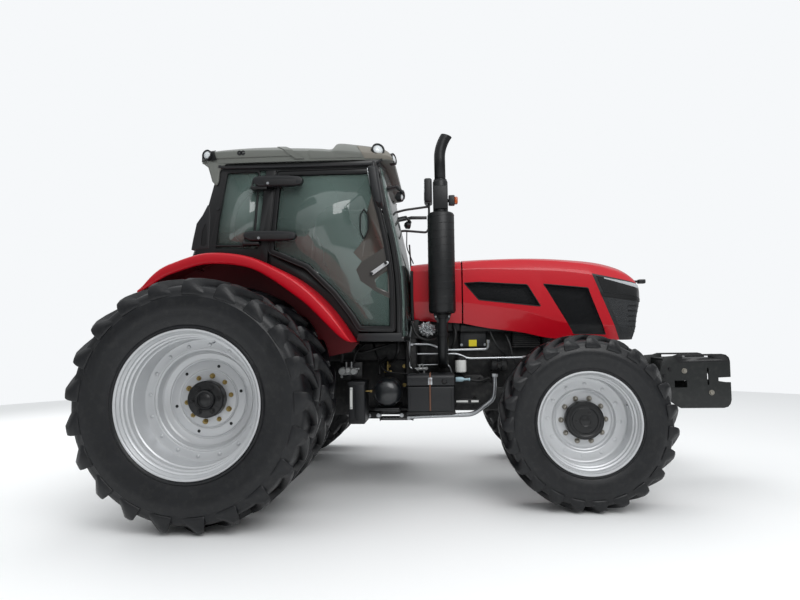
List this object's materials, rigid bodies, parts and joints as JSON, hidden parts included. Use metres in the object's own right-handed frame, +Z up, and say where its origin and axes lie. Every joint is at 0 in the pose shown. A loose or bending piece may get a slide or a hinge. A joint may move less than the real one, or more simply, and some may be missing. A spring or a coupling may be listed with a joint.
{
  "type": "farm tractor",
  "caption": "Four-wheel-drive farm tractor with twin rear wheels, glazed cab, tilting bonnet, steered front axle and rear three-point lift.",
  "frame": {"origin": "on the ground, under the middle of the overall box", "axes": "+X forward, +Y to the left of the tractor, +Z up"},
  "size_m": [5.444, 3.526, 3.0517],
  "materials": {
    "red_paint": "glossy enamel",
    "grey_paint": "satin moulded skin",
    "black_plastic": "grained",
    "black_steel": "satin enamel",
    "cast_iron": "painted casting",
    "silver_rim": "satin silver enamel",
    "tyre_rubber": "moulded rubber",
    "tinted_glass": "green tinted, polished",
    "seat_cloth": "woven cloth",
    "radiator_metal": "black lacquered core"
  },
  "bodies": {
    "chassis": {"engine_block": "cast_iron", "radiator_pack": "radiator_metal", "front_frame": "black_steel", "transmission_housing": "cast_iron", "front_bracket": "black_steel", "rear_cowl": "red_paint", "exhaust": "black_steel", "cab_tub": "black_plastic", "dash_console": "black_plastic", "seat_cushion": "seat_cloth", "seat_backrest": "seat_cloth", "pillar_front_L": "black_plastic", "pillar_front_R": "black_plastic", "side_frame_L": "black_plastic", "side_frame_R": "black_plastic", "quarter_glass_L": "tinted_glass", "quarter_glass_R": "tinted_glass", "cab_header": "black_plastic", "cab_roof": "grey_paint", "windscreen": "tinted_glass", "rear_window": "tinted_glass", "fender_L": "red_paint", "fender_R": "red_paint", "mirror_L": "black_plastic", "mirror_R": "black_plastic", "battery_box": "black_steel", "air_tank": "black_steel", "side_box_R": "black_plastic", "fuel_tank_L": "black_plastic", "drawbar": "black_steel", "front_axle_beam": "cast_iron"},
    "bonnet": {"bonnet_shell": "red_paint", "bonnet_nose": "black_plastic"},
    "door_L": {"door_frame_L": "black_plastic", "door_glass_L": "tinted_glass"},
    "door_R": {"door_frame_R": "black_plastic", "door_glass_R": "tinted_glass"},
    "steering_wheel": {"steering_wheel": "black_plastic"},
    "knuckle_L": {"knuckle_L": "cast_iron"},
    "knuckle_R": {"knuckle_R": "cast_iron"},
    "tie_rod": {"tie_rod": "black_steel"},
    "lift_arms": {"lift_arms": "black_steel"},
    "lower_links": {"lower_link_L": "black_steel", "lower_link_R": "black_steel"},
    "lift_rods": {"lift_rod_L": "black_steel", "lift_rod_R": "black_steel"},
    "rear_wheel_L": {"rear_tyre_outer_L": "tyre_rubber", "rear_tyre_inner_L": "tyre_rubber", "rear_rim_outer_L": "silver_rim", "rear_rim_inner_L": "silver_rim", "rear_hub_L": "cast_iron"},
    "front_wheel_L": {"front_tyre_L": "tyre_rubber", "front_rim_L": "silver_rim"},
    "rear_wheel_R": {"rear_tyre_outer_R": "tyre_rubber", "rear_tyre_inner_R": "tyre_rubber", "rear_rim_outer_R": "silver_rim", "rear_rim_inner_R": "silver_rim", "rear_hub_R": "cast_iron"},
    "front_wheel_R": {"front_tyre_R": "tyre_rubber", "front_rim_R": "silver_rim"}
  },
  "joints": [
    {"name": "rear_wheel_L_spin", "type": "hinge", "parent": "chassis", "child": "rear_wheel_L", "pos_m": [-1.48103, 1.23, 0.862], "axis": [0, 1, 0], "continuous": true},
    {"name": "steer_L", "type": "hinge", "parent": "chassis", "child": "knuckle_L", "pos_m": [1.29997, 0.78, 0.65], "axis": [0, 0, 1], "range_deg": [-40, 40]},
    {"name": "front_wheel_L_spin", "type": "hinge", "parent": "knuckle_L", "child": "front_wheel_L", "pos_m": [1.29997, 1.003, 0.65], "axis": [0, 1, 0], "continuous": true},
    {"name": "door_L_swing", "type": "hinge", "parent": "chassis", "child": "door_L", "pos_m": [-1.29403, 0.868, 2.62], "axis": [0.142, 0, 0.9899], "range_deg": [0, 48]},
    {"name": "rear_wheel_R_spin", "type": "hinge", "parent": "chassis", "child": "rear_wheel_R", "pos_m": [-1.48103, -1.23, 0.862], "axis": [0, 1, 0], "continuous": true},
    {"name": "steer_R", "type": "hinge", "parent": "chassis", "child": "knuckle_R", "pos_m": [1.29997, -0.78, 0.65], "axis": [0, 0, 1], "range_deg": [-40, 40]},
    {"name": "front_wheel_R_spin", "type": "hinge", "parent": "knuckle_R", "child": "front_wheel_R", "pos_m": [1.29997, -1.003, 0.65], "axis": [0, 1, 0], "continuous": true},
    {"name": "door_R_swing", "type": "hinge", "parent": "chassis", "child": "door_R", "pos_m": [-1.29403, -0.868, 2.62], "axis": [-0.142, 0, -0.9899], "range_deg": [0, 48]},
    {"name": "tie_rod_swing", "type": "hinge", "parent": "knuckle_L", "child": "tie_rod", "pos_m": [1.05997, 0.78, 0.737], "axis": [0, 0, 1], "range_deg": [-40, 40]},
    {"name": "bonnet_tilt", "type": "hinge", "parent": "chassis", "child": "bonnet", "pos_m": [0.35897, 0, 1.962], "axis": [0, -1, 0], "range_deg": [0, 55]},
    {"name": "steering_wheel_turn", "type": "hinge", "parent": "chassis", "child": "steering_wheel", "pos_m": [-0.47103, 0, 2.08], "axis": [-0.4618, 0, 0.887], "continuous": true},
    {"name": "lift_raise", "type": "hinge", "parent": "chassis", "child": "lift_arms", "pos_m": [-1.92103, 0, 1.2105], "axis": [0, 1, 0], "range_deg": [0, 55]},
    {"name": "lower_link_raise", "type": "hinge", "parent": "chassis", "child": "lower_links", "pos_m": [-1.78103, 0, 0.5], "axis": [0, 1, 0], "range_deg": [0, 34]},
    {"name": "lift_rod_swing", "type": "hinge", "parent": "lift_arms", "child": "lift_rods", "pos_m": [-2.26103, 0, 1.2605], "axis": [0, 1, 0], "range_deg": [-47, 0]}
  ],
  "couplings": [
    {"joint": "steer_R", "follows": "steer_L", "ratio": 1},
    {"joint": "tie_rod_swing", "follows": "steer_L", "ratio": -1},
    {"joint": "lower_link_raise", "follows": "lift_raise", "ratio": 0.6136},
    {"joint": "lift_rod_swing", "follows": "lift_raise", "ratio": -0.842}
  ]
}
